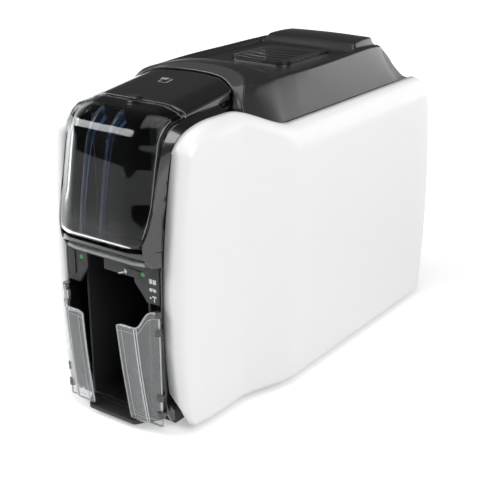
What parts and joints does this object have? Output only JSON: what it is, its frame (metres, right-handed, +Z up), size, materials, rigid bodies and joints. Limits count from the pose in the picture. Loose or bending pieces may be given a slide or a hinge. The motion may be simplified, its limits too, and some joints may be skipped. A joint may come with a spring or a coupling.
{
  "type": "id card printer",
  "caption": "Upright desktop ID card printer with a clear hinged card hopper, clear output wings, a hinged top lid, flared white side panels and a geared roller card path.",
  "frame": {"origin": "centre of the bounding box's bottom face", "axes": "+Z up, -Y towards the front where cards go in and come out, +X to the right as seen from the front"},
  "size_m": [0.157, 0.3679, 0.2448],
  "materials": {
    "white_shell": "satin white moulding",
    "black_shell": "glossy black moulding",
    "dark_moulding": "fine textured dark grey",
    "grey_trim": "satin grey",
    "smoked_window": "clear smoked moulding",
    "clear_wing": "clear grey moulding",
    "light_pipe": "translucent",
    "status_light": "translucent green",
    "rubber_foot": "moulded rubber",
    "roller_rubber": "ground rubber sleeve",
    "sheet_steel": "zinc plated",
    "turned_steel": "ground",
    "gear_plastic": "natural acetal",
    "brass": "machined",
    "motor_body": "zinc plated can",
    "ribbon_core": "dark ribbon film",
    "cradle_blue": "coloured moulding",
    "circuit_board": "solder mask",
    "print_head_alloy": "machined heat sink",
    "socket_black": "connector body"
  },
  "bodies": {
    "chassis": {"left_side_panel": "white_shell", "right_side_panel": "white_shell", "rear_panel": "dark_moulding", "base_tray": "dark_moulding", "rubber_feet": "rubber_foot", "front_bezel": "black_shell", "control_fascia": "dark_moulding", "light_bar": "light_pipe", "status_lights": "status_light", "output_bin": "dark_moulding", "card_hopper": "dark_moulding", "hood_pins": "turned_steel", "wing_pins": "turned_steel", "lid_pins": "turned_steel", "left_frame_plate": "sheet_steel", "right_frame_plate": "sheet_steel", "frame_crossbars": "turned_steel", "card_deck": "dark_moulding", "idler_axles": "turned_steel", "drive_motor": "motor_body", "ribbon_motor": "motor_body", "ribbon_cradle": "cradle_blue", "main_board": "circuit_board", "power_inlet": "socket_black", "usb_socket": "sheet_steel", "network_socket": "socket_black", "case_screws": "turned_steel"},
    "hopper_cover": {"hopper_hood": "black_shell", "hopper_window": "smoked_window", "hopper_catch": "light_pipe"},
    "left_wing_body": {"left_wing": "clear_wing"},
    "right_wing_body": {"right_wing": "clear_wing"},
    "power_button_body": {"power_button": "dark_moulding"},
    "lid": {"top_lid": "black_shell", "lid_front_trim": "grey_trim", "lid_latch": "dark_moulding", "head_carrier": "dark_moulding", "print_head": "print_head_alloy"},
    "lid_release_body": {"lid_release": "black_shell"},
    "pick_shaft": {"pick_roller": "roller_rubber", "pick_gear": "gear_plastic"},
    "feed_shaft": {"feed_roller": "roller_rubber", "feed_gear": "gear_plastic"},
    "cleaning_shaft": {"cleaning_roller": "roller_rubber", "cleaning_gear": "gear_plastic"},
    "platen_shaft": {"platen_roller": "roller_rubber", "platen_gear": "gear_plastic"},
    "rear_shaft": {"rear_roller": "roller_rubber", "rear_gear": "gear_plastic"},
    "idler_1": {"idler_gear_1": "gear_plastic"},
    "idler_2": {"idler_gear_2": "gear_plastic"},
    "idler_3": {"idler_gear_3": "gear_plastic"},
    "idler_4": {"idler_gear_4": "gear_plastic"},
    "motor_shaft": {"drive_pinion": "brass"},
    "ribbon_motor_shaft": {"ribbon_pinion": "brass"},
    "takeup_shaft": {"ribbon_gear": "gear_plastic", "takeup_spool": "ribbon_core"},
    "supply_shaft": {"supply_spool": "ribbon_core"}
  },
  "joints": [
    {"name": "hopper_cover_hinge", "type": "hinge", "parent": "chassis", "child": "hopper_cover", "pos_m": [0, -0.092, 0.2295], "axis": [-1, 0, 0], "range_deg": [0, 65]},
    {"name": "left_wing_hinge", "type": "hinge", "parent": "chassis", "child": "left_wing_body", "pos_m": [-0.0432, -0.17, 0.05], "axis": [0, 0, -1], "range_deg": [0, 60]},
    {"name": "right_wing_hinge", "type": "hinge", "parent": "chassis", "child": "right_wing_body", "pos_m": [0.0432, -0.17, 0.05], "axis": [0, 0, 1], "range_deg": [0, 60]},
    {"name": "power_button_slide", "type": "slide", "parent": "chassis", "child": "power_button_body", "axis": [0, 1, 0], "range_m": [0, 0.0015], "stiffness_N_per_m": 400, "springref_m": -0.0008},
    {"name": "lid_hinge", "type": "hinge", "parent": "chassis", "child": "lid", "pos_m": [0, 0.144, 0.203], "axis": [-1, 0, 0], "range_deg": [0, 75]},
    {"name": "lid_release_slide", "type": "slide", "parent": "lid", "child": "lid_release_body", "axis": [0, 0, -1], "range_m": [0, 0.0025], "stiffness_N_per_m": 800, "springref_m": -0.001},
    {"name": "pick_spin", "type": "hinge", "parent": "chassis", "child": "pick_shaft", "pos_m": [0, -0.104, 0.129], "axis": [1, 0, 0], "continuous": true},
    {"name": "feed_spin", "type": "hinge", "parent": "chassis", "child": "feed_shaft", "pos_m": [0, -0.056, 0.129], "axis": [1, 0, 0], "continuous": true},
    {"name": "cleaning_spin", "type": "hinge", "parent": "chassis", "child": "cleaning_shaft", "pos_m": [0, -0.008, 0.129], "axis": [1, 0, 0], "continuous": true},
    {"name": "platen_spin", "type": "hinge", "parent": "chassis", "child": "platen_shaft", "pos_m": [0, 0.04, 0.129], "axis": [1, 0, 0], "continuous": true},
    {"name": "rear_spin", "type": "hinge", "parent": "chassis", "child": "rear_shaft", "pos_m": [0, 0.088, 0.129], "axis": [1, 0, 0], "continuous": true},
    {"name": "idler_1_spin", "type": "hinge", "parent": "chassis", "child": "idler_1", "pos_m": [-0.049, -0.08, 0.129], "axis": [1, 0, 0], "continuous": true},
    {"name": "idler_2_spin", "type": "hinge", "parent": "chassis", "child": "idler_2", "pos_m": [-0.049, -0.032, 0.129], "axis": [1, 0, 0], "continuous": true},
    {"name": "idler_3_spin", "type": "hinge", "parent": "chassis", "child": "idler_3", "pos_m": [-0.049, 0.016, 0.129], "axis": [1, 0, 0], "continuous": true},
    {"name": "idler_4_spin", "type": "hinge", "parent": "chassis", "child": "idler_4", "pos_m": [-0.049, 0.064, 0.129], "axis": [1, 0, 0], "continuous": true},
    {"name": "motor_spin", "type": "hinge", "parent": "chassis", "child": "motor_shaft", "pos_m": [-0.048, 0.064, 0.11085], "axis": [1, 0, 0], "continuous": true},
    {"name": "takeup_spin", "type": "hinge", "parent": "chassis", "child": "takeup_shaft", "pos_m": [0, 0.078, 0.182], "axis": [1, 0, 0], "continuous": true},
    {"name": "ribbon_motor_spin", "type": "hinge", "parent": "chassis", "child": "ribbon_motor_shaft", "pos_m": [0.048, 0.078, 0.16085], "axis": [1, 0, 0], "continuous": true},
    {"name": "supply_spin", "type": "hinge", "parent": "chassis", "child": "supply_shaft", "pos_m": [0, -0.008, 0.182], "axis": [1, 0, 0], "continuous": true}
  ],
  "couplings": [
    {"joint": "pick_spin", "follows": "platen_spin", "ratio": 1},
    {"joint": "feed_spin", "follows": "platen_spin", "ratio": 1},
    {"joint": "cleaning_spin", "follows": "platen_spin", "ratio": 1},
    {"joint": "rear_spin", "follows": "platen_spin", "ratio": 1},
    {"joint": "idler_1_spin", "follows": "platen_spin", "ratio": -1},
    {"joint": "idler_2_spin", "follows": "platen_spin", "ratio": -1},
    {"joint": "idler_3_spin", "follows": "platen_spin", "ratio": -1},
    {"joint": "idler_4_spin", "follows": "platen_spin", "ratio": -1},
    {"joint": "motor_spin", "follows": "platen_spin", "ratio": 2},
    {"joint": "ribbon_motor_spin", "follows": "takeup_spin", "ratio": -2.5}
  ]
}
